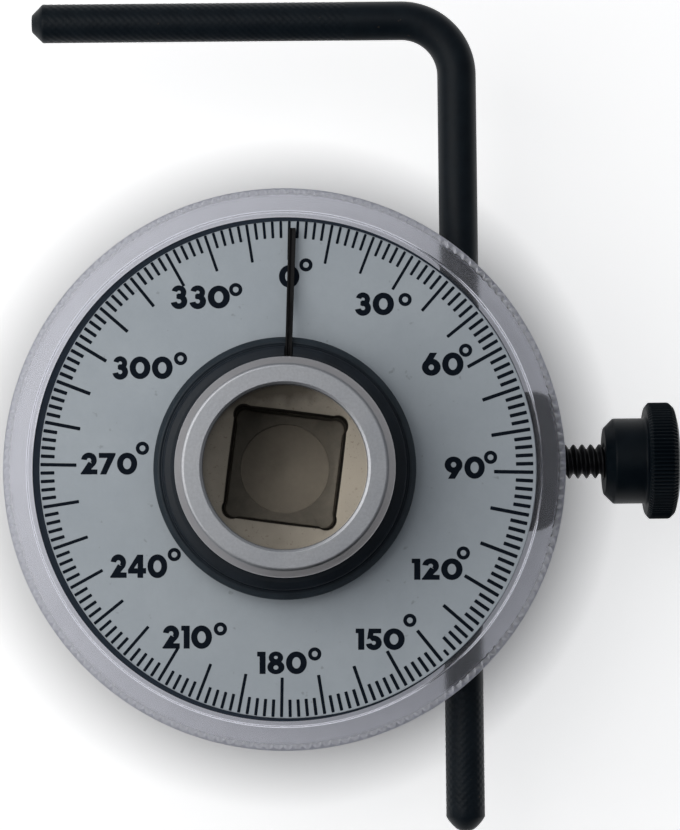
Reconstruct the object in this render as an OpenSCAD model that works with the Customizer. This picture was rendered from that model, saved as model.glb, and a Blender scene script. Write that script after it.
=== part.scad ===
// Torque angle gauge for a half-inch square drive, in millimetres.
// +Z is the spindle axis out of the dial face, +Y the zero of the dial,
// +X points to the thumb screw. The origin is the centre of the end face
// of the male square.

/* [Spindle] */
// Across flats of the male square
male_af = 12.7; // [9.5:0.05:19.1]
// Length of the male square
male_len = 15.5; // [10:0.5:22]
// Across flats of the female square
female_af = 12.85; // [9.6:0.05:19.3]
// Depth of the female square from the front face
female_depth = 16; // [10:0.5:22]
// Radius of the shank that runs in the housing
shank_r = 11; // [9:0.1:14]
// Radius of the front head
head_r = 12.95; // [11:0.05:17]
// Length of the front head
head_len = 12.4; // [8:0.1:20]
// Radius of the dished recess at the mouth of the female square
recess_r = 9.8; // [9.2:0.1:12]
// Angle of both squares about the spindle axis, in degrees
square_angle = -7.7; // [-45:0.1:45]

/* [Pointer] */
// Outer radius of the pointer collar
collar_r = 15.7; // [14.5:0.1:20]
// Radius reached by the tip of the needle
needle_tip_r = 29; // [24:0.1:30]
// Width of the needle
needle_w = 1; // [0.6:0.1:2]
// Angle of the needle from the zero of the dial, in degrees
needle_angle = -2.4; // [-180:0.1:180]

/* [Dial] */
// Outer radius of the finger rim
rim_r = 34; // [30:0.5:45]
// Inner radius of the finger rim
rim_in_r = 31.1; // [28:0.1:42]
// Height of the finger rim
rim_h = 4.25; // [3:0.05:8]
// Outer radius of the scale plate
plate_r = 30.1; // [26:0.1:40]
// Thickness of the scale plate
plate_t = 0.38; // [0.3:0.02:1.5]
// Thickness of the adhesive disc under the scale plate
backing_t = 0.12; // [0.06:0.02:0.3]

/* [Housing] */
// Radius of the round body behind the dial
body_r = 19; // [17:0.5:24]
// Thickness of body and arm
arm_t = 9; // [8:0.5:14]
// Width of the arm
arm_w = 17; // [12:0.5:24]
// Distance from the spindle axis to the end of the arm
arm_end = 33.6; // [30:0.1:40]
// Offset of arm and thumb screw from the spindle axis, toward the zero of the dial
arm_off = 0.6; // [0:0.1:3]

/* [Reaction rod] */
// Radius of the rod
rod_r = 2.38; // [1.5:0.01:3]
// Distance of the long leg from the spindle axis
rod_x = 21.7; // [20:0.1:26]
// Height of the short leg above the spindle axis
rod_top = 55.2; // [40:0.1:80]
// Reach of the short leg to the left of the spindle axis
rod_left = 30.5; // [5:0.1:60]
// Reach of the long leg below the spindle axis
rod_bottom = 44.4; // [20:0.1:80]
// Radius of the bend on the centre line
bend_r = 6.8; // [4:0.1:15]

/* [Thumb screw] */
// Crest radius of the thread
thread_r = 2.1; // [1.5:0.05:3]
// Pitch of the thread
thread_p = 1.06; // [0.5:0.01:1.5]
// Distance from the spindle axis to the near face of the knob
knob_x = 39.2; // [36:0.1:60]
// Radius of the knob hub
hub_r = 5.25; // [4:0.05:8]
// Length of the knob hub
hub_len = 5.1; // [3:0.1:10]
// Radius of the serrated flange of the knob
knob_r = 7.15; // [6:0.05:12]
// Thickness of the serrated flange of the knob
knob_t = 3.9; // [2:0.1:8]

/* [Hidden] */
$fn = 96;

// heights along the spindle, from the end of the male square upward
z_sh = male_len;
z_groove = z_sh + 0.8;
z_rear = z_sh + 2.5;
z_mid = z_rear + arm_t / 2;
z_front = z_rear + arm_t;
z_dish = z_front + 1.05;
z_floor = z_dish + 2.05;
z_plate = z_floor + backing_t + plate_t;
z_hub = z_front + 5;
z_head = z_hub + 0.6;
z_top = z_head + head_len;
hub_out = 14;
bush_out = 12.28;
detent_z = 7.5;
ball_r = 2;
ball_d = 5.25;
knob_end = knob_x + hub_len + knob_t;

// plain ring with a rectangular section
module ring(ri, ro, z0, z1) {
    translate([0, 0, z0]) difference() {
        cylinder(r = ro, h = z1 - z0);
        translate([0, 0, -1]) cylinder(r = ri, h = z1 - z0 + 2);
    }
}

// bore of the female square: flats, relieved corners
module square_bore(af, z0, z1) {
    e = af / 2 - 1.06;
    translate([0, 0, z0]) {
        intersection() {
            translate([-af / 2, -af / 2, 0]) cube([af, af, z1 - z0]);
            cylinder(r = af * 0.65, h = z1 - z0);
        }
        for (sx = [-1, 1], sy = [-1, 1])
            translate([sx * e, sy * e, 0]) cylinder(r = 1.2, h = z1 - z0);
    }
}

// spindle: male square, shank with clip groove, head with female square
module drive_spindle() {
    color("silver") rotate([0, 0, square_angle]) difference() {
        union() {
            intersection() {
                translate([-male_af / 2, -male_af / 2, 0])
                    cube([male_af, male_af, z_sh + 1]);
                rotate_extrude() polygon([[0, 0], [6, 0], [8.4, 2.4],
                    [8.4, z_sh + 1], [0, z_sh + 1]]);
            }
            rotate_extrude() polygon([[0, z_sh], [shank_r - 0.4, z_sh],
                [shank_r, z_sh + 0.4], [shank_r, z_groove],
                [shank_r - 0.6, z_groove], [shank_r - 0.6, z_groove + 1.2],
                [shank_r, z_groove + 1.2], [shank_r, z_head],
                [head_r - 0.3, z_head], [head_r, z_head + 0.3],
                [head_r, z_top - 0.9], [head_r - 0.95, z_top], [0, z_top]]);
        }
        // shallow recess with a slightly dished floor
        rotate_extrude() polygon([[0, z_top - 2.3], [6.2, z_top - 2.3],
            [recess_r - 0.15, z_top - 1.6], [recess_r, z_top],
            [recess_r, z_top + 1], [0, z_top + 1]]);
        square_bore(female_af, z_top - female_depth, z_top);
        // shallow pilot pocket with a faintly dished bottom
        rotate_extrude() polygon([[0, z_top - female_depth - 1.5],
            [5.4, z_top - female_depth - 1.2], [5.4, z_top - female_depth + 1],
            [0, z_top - female_depth + 1]]);
        // dimples that take the ball of a driving square
        for (a = [0, 90, 180, 270]) rotate([0, 0, a])
            translate([female_af / 2 + 1.1, 0, z_top - 8.6]) sphere(r = 1.9);
        // detent hole with its staked lip
        translate([0, -6.2, detent_z]) rotate([-90, 0, 0])
            cylinder(r = ball_r + 0.05, h = 5.7);
        translate([0, -7.5, detent_z]) rotate([-90, 0, 0])
            cylinder(r = ball_r - 0.2, h = 3);
    }
}

// ball that snaps into a socket
module detent_ball() {
    color("lightgray") rotate([0, 0, square_angle])
        translate([0, -ball_d, detent_z]) sphere(r = ball_r);
}

// one corner ring of the spring wire, turned along the helix
function coil_pt(t, k, n, r, w, h, turns) =
    let (a = t * turns * 360, q = k * 360 / n,
         rr = r + w * cos(q))
    [rr * cos(a), rr * sin(a), t * h + w * sin(q)];

// small coil spring behind the ball
module detent_spring() {
    n = 8;
    m = 64;
    r = 1.35;
    w = 0.2;
    h = 2.2;
    pts = [for (i = [0:m], k = [0:n - 1]) coil_pt(i / m, k, n, r, w, h, 4)];
    sides = [for (i = [0:m - 1], k = [0:n - 1])
        [i * n + k, i * n + (k + 1) % n, (i + 1) * n + (k + 1) % n,
         (i + 1) * n + k]];
    cap0 = [[for (k = [0:n - 1]) n - 1 - k]];
    cap1 = [[for (k = [0:n - 1]) m * n + k]];
    color("gray") rotate([0, 0, square_angle])
        translate([0, -0.75, detent_z]) rotate([90, 0, 0])
            polyhedron(points = pts, faces = concat(sides, cap0, cap1));
}

// stepped ring on the head, slotted for the needle
module pointer_collar() {
    color("#202226") difference() {
        rotate_extrude() polygon([[head_r + 0.02, z_head + 0.7],
            [14.75, z_head + 0.7], [14.75, z_plate + 0.4],
            [collar_r, z_plate + 0.4], [collar_r, z_head + 2],
            [collar_r - 0.7, z_head + 2.6], [14.7, z_head + 2.6],
            [14.7, z_head + 3.6], [14.4, z_head + 3.9],
            [head_r + 0.02, z_head + 3.9]]);
        rotate([0, 0, needle_angle])
            translate([-needle_w / 2 - 0.02, 12, z_head + 2.6])
                cube([needle_w + 0.04, 5, 3]);
    }
}

// bent strip, from the collar down to just over the scale
module pointer_needle() {
    z = z_head + 2.62;
    color("#151518") rotate([0, 0, needle_angle])
        translate([needle_w / 2, 0, 0]) rotate([90, 0, -90])
            linear_extrude(height = needle_w) polygon([
                [-13.05, z], [-13.05, z + 0.7], [-16, z + 0.7],
                [-20, z_plate + 1.75], [-needle_tip_r, z_plate + 1.2],
                [-needle_tip_r, z_plate + 0.6], [-19.8, z_plate + 1.1],
                [-15.75, z]]);
}

// clear dish with the finger rim
module dial_dish() {
    color("lavender", 0.5) rotate_extrude() polygon([
        [hub_out + 0.06, z_dish], [rim_r - 0.4, z_dish],
        [rim_r, z_dish + 0.4], [rim_r, z_dish + rim_h - 0.5],
        [rim_r - 0.5, z_dish + rim_h], [rim_in_r + 0.3, z_dish + rim_h],
        [rim_in_r, z_dish + rim_h - 0.3], [rim_in_r, z_floor],
        [hub_out + 0.06, z_floor]]);
}

// dark adhesive disc on the floor of the dish, a little wider than the plate
module scale_backing() {
    color("#14171f") ring(hub_out + 1.1, plate_r + 0.3, z_floor, z_floor + backing_t);
}

// printed metal disc on its adhesive
module scale_plate() {
    color("darkgray") ring(hub_out + 0.9, plate_r, z_floor + backing_t, z_plate);
}

// round wire ring in the hub groove
module dial_snap_ring() {
    color("gray") translate([0, 0, z_floor + 0.65]) rotate([0, 0, 200])
        rotate_extrude(angle = 335) translate([hub_out, 0]) circle(r = 0.5);
}

// three-wave spring washer
module wave_washer() {
    n = 72;
    zm = z_front + 0.35;
    function zz(i) = zm + 0.18 * cos(3 * i * 360 / n);
    pts = [for (i = [0:n - 1], c = [[14.4, -0.1], [17.5, -0.1], [17.5, 0.1],
                                    [14.4, 0.1]])
        [c[0] * cos(i * 360 / n), c[0] * sin(i * 360 / n), zz(i) + c[1]]];
    faces = [for (i = [0:n - 1], k = [0:3])
        let (j = (i + 1) % n, l = (k + 1) % 4)
        [i * 4 + l, i * 4 + k, j * 4 + k, j * 4 + l]];
    color("gray") polyhedron(points = pts, faces = faces);
}

// flat washer between wave washer and dish
module slip_washer() {
    color("ivory") ring(hub_out + 0.2, 18, z_front + 0.67, z_front + 0.99);
}

// round body, front hub for the dial, arm for rod and thumb screw
module housing() {
    c = 3.5;
    color("#1c1d20") difference() {
        union() {
            translate([0, 0, z_rear]) cylinder(r = body_r, h = arm_t);
            translate([0, arm_off - arm_w / 2, z_rear])
                cube([arm_end - c, arm_w, arm_t]);
            translate([arm_end - c - 1, arm_off - arm_w / 2 + c, z_rear])
                cube([c + 1, arm_w - 2 * c, arm_t]);
            for (s = [-1, 1])
                translate([arm_end - c, arm_off + s * (arm_w / 2 - c), z_rear])
                    cylinder(r = c, h = arm_t);
            translate([0, 0, z_front - 1]) cylinder(r = hub_out, h = z_hub - z_front + 1);
        }
        // seat of the bush and of the seal
        translate([0, 0, z_rear - 1]) cylinder(r = bush_out + 0.02, h = 30);
        translate([0, 0, z_rear - 1]) cylinder(r = 12.6, h = 2.6);
        // groove of the snap ring
        difference() {
            translate([0, 0, z_floor + 0.1]) cylinder(r = hub_out + 1, h = 1.1);
            translate([0, 0, z_floor]) cylinder(r = hub_out - 0.55, h = 1.3);
        }
        // cross hole of the rod
        translate([rod_x, arm_off - arm_w, z_mid]) rotate([-90, 0, 0])
            cylinder(r = rod_r + 0.05, h = 2 * arm_w);
        // hole of the thumb screw
        translate([rod_x, arm_off, z_mid]) rotate([0, 90, 0])
            cylinder(r = thread_r + 0.1, h = 20);
    }
}

// bearing bush pressed into the housing
module spindle_bush() {
    color("#b08d4a") ring(shank_r + 0.05, bush_out, z_rear + 1.6, z_hub);
}

// sealing ring at the rear of the bush
module spindle_seal() {
    color("#101010") translate([0, 0, z_rear + 0.82]) rotate_extrude()
        translate([shank_r + 0.8, 0]) circle(r = 0.75);
}

// washer between hub and head
module front_thrust_washer() {
    color("ivory") ring(shank_r + 0.1, 13.2, z_hub + 0.05, z_hub + 0.55);
}

// washer behind the housing
module rear_washer() {
    color("lightgray") ring(shank_r + 0.1, 14, z_rear - 0.55, z_rear - 0.05);
}

// retaining ring in the groove of the shank
module rear_circlip() {
    a = 14;
    color("#303030") translate([0, 0, z_groove + 0.05]) difference() {
        union() {
            cylinder(r = 12.5, h = 1.05);
            for (s = [-1, 1]) rotate([0, 0, 90 + s * a])
                translate([12.4, 0, 0]) cylinder(r = 1.7, h = 1.05);
        }
        translate([0, 0, -1]) cylinder(r = shank_r - 0.55, h = 4);
        translate([-1.4, 0, -1]) cube([2.8, 20, 4]);
        for (s = [-1, 1]) rotate([0, 0, 90 + s * a])
            translate([12.5, 0, -1]) cylinder(r = 0.7, h = 4);
    }
}

// rod bent to an L, chamfered at both ends
module reaction_rod() {
    color("#191a1d") translate([0, 0, z_mid]) {
        translate([rod_x, -rod_bottom + 1.7, 0]) rotate([-90, 0, 0])
            cylinder(r = rod_r, h = rod_bottom + rod_top - bend_r - 1.7);
        translate([rod_x, -rod_bottom + 1.7, 0]) rotate([90, 0, 0])
            cylinder(r1 = rod_r, r2 = 0.6, h = 1.7);
        translate([rod_x - bend_r, rod_top - bend_r, 0])
            rotate_extrude(angle = 90) translate([bend_r, 0]) circle(r = rod_r);
        translate([rod_x - bend_r, rod_top, 0]) rotate([0, -90, 0])
            cylinder(r = rod_r, h = rod_x - bend_r + rod_left - 1.3);
        translate([-rod_left + 1.3, rod_top, 0]) rotate([0, -90, 0])
            cylinder(r1 = rod_r, r2 = rod_r - 1.3, h = 1.3);
    }
}

// threaded stud with a spigot that carries the pad
module thumb_screw_stud() {
    x0 = 25.5;
    n = floor((knob_x - x0 - 0.6) / thread_p);
    d = 0.55;
    function tp(i) = [[thread_r - d, x0 + 0.3 + (i + 0.35) * thread_p],
                      [thread_r - d, x0 + 0.3 + (i + 0.5) * thread_p],
                      [thread_r, x0 + 0.3 + (i + 0.85) * thread_p],
                      [thread_r, x0 + 0.3 + (i + 1) * thread_p]];
    pr = concat([[0, x0 - 0.7], [0.95, x0 - 0.7], [0.95, x0],
                 [thread_r - 0.3, x0], [thread_r, x0 + 0.3]],
                [for (i = [0:n - 1], p = tp(i)) p],
                [[thread_r, knob_x + 6.5], [0, knob_x + 6.5]]);
    color("#17181a") translate([0, arm_off, z_mid]) rotate([0, 90, 0])
        rotate_extrude() polygon(pr);
}

// knob: chamfered hub and domed flange on a blind bore
module thumb_knob() {
    f = hub_len;
    e = hub_len + knob_t;
    color("#1b1c1f") translate([knob_x, arm_off, z_mid]) rotate([0, 90, 0])
        rotate_extrude() polygon([[thread_r + 0.02, 0], [hub_r - 1.1, 0],
            [hub_r, 1.1], [hub_r, f], [knob_r - 0.4, f], [knob_r, f + 0.4],
            [knob_r, e - 1.1], [knob_r - 0.4, e - 0.5], [knob_r - 1.3, e - 0.15],
            [knob_r - 2.6, e], [0, e], [0, 6.55], [thread_r + 0.02, 6.55]]);
}

// swivelling tip of the screw that bears on the rod
module clamp_pad() {
    color("#b5923f") translate([24.15, arm_off, z_mid]) rotate([0, 90, 0])
        difference() {
            cylinder(r = 1.95, h = 1.3);
            translate([0, 0, 0.6]) cylinder(r = 1, h = 2);
        }
}

drive_spindle();
detent_ball();
detent_spring();
pointer_collar();
pointer_needle();
dial_dish();
scale_backing();
scale_plate();
dial_snap_ring();
wave_washer();
slip_washer();
housing();
spindle_bush();
spindle_seal();
front_thrust_washer();
rear_washer();
rear_circlip();
reaction_rod();
thumb_screw_stud();
thumb_knob();
clamp_pad();
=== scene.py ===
import math
import bmesh
import bpy
import numpy as np
from mathutils import Matrix, Vector


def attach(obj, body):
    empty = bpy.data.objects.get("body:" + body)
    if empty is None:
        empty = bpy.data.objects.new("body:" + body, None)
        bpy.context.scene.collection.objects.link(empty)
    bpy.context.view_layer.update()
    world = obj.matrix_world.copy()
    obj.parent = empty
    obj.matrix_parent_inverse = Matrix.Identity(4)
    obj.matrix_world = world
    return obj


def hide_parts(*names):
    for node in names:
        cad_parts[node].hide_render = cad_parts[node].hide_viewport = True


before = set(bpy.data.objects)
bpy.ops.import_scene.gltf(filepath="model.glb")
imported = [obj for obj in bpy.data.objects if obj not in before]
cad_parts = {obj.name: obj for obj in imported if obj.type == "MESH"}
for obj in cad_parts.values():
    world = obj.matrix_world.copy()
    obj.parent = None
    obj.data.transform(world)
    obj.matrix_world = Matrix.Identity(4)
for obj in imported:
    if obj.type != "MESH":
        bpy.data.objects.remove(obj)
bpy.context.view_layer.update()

MM = 0.001
TAU = 2 * math.pi

# ---------------------------------------------------------------- sizes, mm
SQ_ANG = math.radians(-7.7)      # rest angle of both squares
NEEDLE_ANG = math.radians(-2.4)  # rest angle of the needle
PRINT_ANG = -1.53                # rest angle of the printed scale, degrees
Z_MID = 22.5                     # axis of rod and thumb screw
ARM_Y = 0.6
Z_REAR, Z_FRONT = 18.0, 27.0
Z_DISH, Z_FLOOR, Z_PLATE = 28.05, 30.1, 30.6
Z_HUB, Z_HEAD, Z_TOP = 32.0, 32.6, 45.0
ROD_R, ROD_X, ROD_TOP, ROD_LEFT, ROD_BOT, BEND = 2.38, 21.7, 55.2, 30.5, 44.4, 6.8


# ---------------------------------------------------------------- mesh tools
def new_object(name, mesh):
    ob = bpy.data.objects.new(name, mesh)
    bpy.context.scene.collection.objects.link(ob)
    return ob


def mesh_object(name, verts, faces, sharp=35, recalc=True, merge=0.0):
    """Object from vertices in mm; smooth, with edges over sharp degrees kept crisp."""
    me = bpy.data.meshes.new(name)
    me.from_pydata([tuple(float(c) * MM for c in v) for v in verts], [], faces)
    bm = bmesh.new()
    bm.from_mesh(me)
    if merge:
        bmesh.ops.remove_doubles(bm, verts=bm.verts, dist=merge * MM)
        bmesh.ops.dissolve_degenerate(bm, edges=bm.edges, dist=merge * MM * 0.5)
    if recalc:
        bmesh.ops.recalc_face_normals(bm, faces=bm.faces)
    bm.to_mesh(me)
    bm.free()
    finish_shading(me, sharp)
    return new_object(name, me)


def finish_shading(me, sharp):
    for p in me.polygons:
        p.use_smooth = True
    me.set_sharp_from_angle(angle=math.radians(sharp))
    me.update()


def round_path(pts, seg=5):
    """Polyline of (r, z) or (r, z, fillet); each fillet corner becomes an arc."""
    out = []
    n = len(pts)
    for i, p in enumerate(pts):
        f = p[2] if len(p) > 2 else 0
        if not f or i in (0, n - 1):
            out.append((p[0], p[1]))
            continue
        a = np.array(pts[i - 1][:2], float)
        b = np.array(p[:2], float)
        c = np.array(pts[i + 1][:2], float)
        u = (a - b) / np.linalg.norm(a - b)
        v = (c - b) / np.linalg.norm(c - b)
        half = math.acos(max(-1, min(1, float(u @ v)))) / 2
        if half > math.radians(89):
            out.append((p[0], p[1]))
            continue
        t = f / math.tan(half)
        t = min(t, 0.49 * np.linalg.norm(a - b), 0.49 * np.linalg.norm(c - b))
        f = t * math.tan(half)
        mid = (u + v) / np.linalg.norm(u + v)
        ctr = b + mid * (f / math.sin(half))
        s0 = b + u * t - ctr
        s1 = b + v * t - ctr
        a0 = math.atan2(s0[1], s0[0])
        da = math.atan2(s1[1], s1[0]) - a0
        da = (da + math.pi) % TAU - math.pi
        for k in range(seg + 1):
            q = a0 + da * k / seg
            out.append((ctr[0] + f * math.cos(q), ctr[1] + f * math.sin(q)))
    return held(out)


def held(pts, d=0.04):
    """Extra points close to both ends of each long straight, so that flats shade flat."""
    out = []
    for a, b in zip(pts, pts[1:]):
        out.append(a)
        L = math.hypot(b[0] - a[0], b[1] - a[1])
        if L > 0.4:
            for t in (d / L, 1 - d / L):
                out.append((a[0] + (b[0] - a[0]) * t, a[1] + (b[1] - a[1]) * t))
    return out + [pts[-1]]


def skin(loops, closed=False, cap0=None, cap1=None):
    """Quads between equal loops of points. cap0, cap1: a point for a fan, or "ngon"."""
    loops = [np.asarray(l, float) for l in loops]
    n = len(loops[0])
    verts = [tuple(p) for l in loops for p in l]
    faces = []
    m = len(loops)
    for i in range(m if closed else m - 1):
        j = (i + 1) % m
        for k in range(n):
            l = (k + 1) % n
            faces.append((i * n + k, i * n + l, j * n + l, j * n + k))
    for cap, base in ((cap0, 0), (cap1, (m - 1) * n)):
        if cap is None:
            continue
        if isinstance(cap, str):
            faces.append(tuple(range(base, base + n)))
            continue
        c = len(verts)
        verts.append(tuple(cap))
        for k in range(n):
            faces.append((c, base + k, base + (k + 1) % n))
    return verts, faces


def spin(profile, n=192, shape=None):
    """Closed ring of revolution about Z from a closed (r, z) outline. shape(r, z, angles) may return new radii."""
    th = np.arange(n) * TAU / n
    loops = []
    for r, z in profile:
        rr = np.full(n, r, float) if shape is None else shape(r, z, th)
        loops.append(np.stack([rr * np.cos(th), rr * np.sin(th), np.full(n, z, float)], -1))
    return skin(loops, closed=True)


def spin_solid(profile, n=96, shape=None):
    """Solid of revolution about Z: the outline starts and ends on the axis."""
    th = np.arange(n) * TAU / n
    loops = []
    for r, z in profile[1:-1]:
        rr = np.full(n, r, float) if shape is None else shape(r, z, th)
        loops.append(np.stack([rr * np.cos(th), rr * np.sin(th), np.full(n, z, float)], -1))
    return skin(loops, cap0=(0, 0, profile[0][1]), cap1=(0, 0, profile[-1][1]))


def moved(verts, mat):
    v = np.c_[np.asarray(verts, float), np.ones(len(verts))]
    return (v @ np.array(mat).T)[:, :3]


def along_x(x0, y0, z0):
    """Turns the Z axis into +X and puts its zero at the point."""
    return np.array([[0, 0, 1, x0], [0, 1, 0, y0], [-1, 0, 0, z0], [0, 0, 0, 1]], float)


def along_y(x0, y0, z0):
    return np.array([[1, 0, 0, x0], [0, 0, 1, y0], [0, -1, 0, z0], [0, 0, 0, 1]], float)


def turn_z(a, dz=0.0):
    c, s = math.cos(a), math.sin(a)
    return np.array([[c, -s, 0, 0], [s, c, 0, 0], [0, 0, 1, dz], [0, 0, 0, 1]], float)


def cut(ob, tools, op="DIFFERENCE", sharp=35):
    """Exact boolean with each tool, result kept in the object's own mesh."""
    for t in tools:
        md = ob.modifiers.new("cut", "BOOLEAN")
        md.operation = op
        md.solver = "EXACT"
        md.object = t
    dg = bpy.context.evaluated_depsgraph_get()
    me = bpy.data.meshes.new_from_object(ob.evaluated_get(dg))
    ob.modifiers.clear()
    old = ob.data
    ob.data = me
    me.name = ob.name
    bpy.data.meshes.remove(old)
    bm = bmesh.new()
    bm.from_mesh(me)
    bmesh.ops.remove_doubles(bm, verts=bm.verts, dist=1e-7)
    bmesh.ops.dissolve_degenerate(bm, edges=bm.edges, dist=1e-7)
    bm.to_mesh(me)
    bm.free()
    finish_shading(me, sharp)
    for t in tools:
        td = t.data
        bpy.data.objects.remove(t)
        bpy.data.meshes.remove(td)
    return ob


def tool(profile, mat, n=64):
    v, f = spin_solid(profile, n)
    return mesh_object("tool", moved(v, mat), f)


# ---------------------------------------------------------------- material tools
class Mat:
    """Short way to write a node material round one Principled shader."""

    def __init__(self, name, **sockets):
        self.m = bpy.data.materials.new(name)
        self.m.use_nodes = True
        self.nt = self.m.node_tree
        self.b = next(n for n in self.nt.nodes if n.type == "BSDF_PRINCIPLED")
        for k, v in sockets.items():
            self.set(k.replace("_", " "), v)
        self.tc = self.nt.nodes.new("ShaderNodeTexCoord")

    def set(self, socket, value):
        s = self.b.inputs[socket]
        if hasattr(s.default_value, "__len__") and len(s.default_value) == 4 and len(value) == 3:
            value = (*value, 1.0)
        s.default_value = value

    def n(self, kind, inputs=None, **props):
        nd = self.nt.nodes.new(kind)
        for k, v in props.items():
            setattr(nd, k, v)
        for k, v in (inputs or {}).items():
            s = nd.inputs[k]
            if isinstance(v, bpy.types.NodeSocket):
                self.nt.links.new(v, s)
            else:
                s.default_value = v
        return nd

    def obj(self):
        return self.tc.outputs["Object"]

    def scaled(self, vec):
        return self.n("ShaderNodeMapping", {"Vector": self.obj(), "Scale": vec}).outputs[0]

    def noise(self, scale, detail=4, rough=0.55, vector=None, distortion=0.0):
        return self.n("ShaderNodeTexNoise", {"Vector": vector or self.obj(), "Scale": scale, "Detail": detail,
                                             "Roughness": rough, "Distortion": distortion}).outputs["Fac"]

    def voronoi(self, scale, feature="F1", vector=None):
        return self.n("ShaderNodeTexVoronoi", {"Vector": vector or self.obj(), "Scale": scale}, feature=feature).outputs["Distance"]

    def remap(self, v, a, b, c, d):
        return self.n("ShaderNodeMapRange", {0: v, 1: a, 2: b, 3: c, 4: d}).outputs[0]

    def math(self, op, a, b=0.0):
        return self.n("ShaderNodeMath", {0: a, 1: b}, operation=op).outputs[0]

    def mix(self, fac, a, b):
        nd = self.n("ShaderNodeMix", data_type="RGBA")
        for key, v in (("Factor", fac), ("A", a), ("B", b)):
            s = next(i for i in nd.inputs if i.name == key and i.enabled)
            if isinstance(v, bpy.types.NodeSocket):
                self.nt.links.new(v, s)
            else:
                s.default_value = (*v, 1.0) if hasattr(v, "__len__") and len(v) == 3 else v
        return next(o for o in nd.outputs if o.enabled)

    def radius(self):
        """Distance from the object's own Z axis, in metres."""
        s = self.n("ShaderNodeSeparateXYZ", {0: self.obj()})
        return self.math("SQRT", self.math("ADD", self.math("MULTIPLY", s.outputs[0], s.outputs[0]),
                                           self.math("MULTIPLY", s.outputs[1], s.outputs[1])))

    def xyz(self):
        return self.n("ShaderNodeSeparateXYZ", {0: self.obj()}).outputs

    def link(self, out, socket):
        self.nt.links.new(out, self.b.inputs[socket])

    def bump(self, height, strength, distance):
        nd = self.n("ShaderNodeBump", {"Height": height, "Strength": strength, "Distance": distance})
        self.link(nd.outputs[0], "Normal")
        return nd


def plain(name, dark, light, rough=(0.35, 0.5), metallic=0.0, scale=400.0, bump=0.15, grain=3000.0, depth=0.00003, spec=0.5):
    """Noise-varied colour, roughness and fine bump; the base of most of the materials."""
    m = Mat(name, Metallic=metallic, Specular_IOR_Level=spec)
    a = m.noise(scale, 5, 0.6)
    g = m.noise(grain, 3, 0.6)
    m.link(m.mix(m.remap(a, 0.3, 0.7, 0, 1), dark, light), "Base Color")
    m.link(m.remap(m.math("ADD", m.math("MULTIPLY", a, 0.6), m.math("MULTIPLY", g, 0.4)), 0.3, 0.7, rough[0], rough[1]), "Roughness")
    m.bump(g, bump, depth)
    return m


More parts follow.
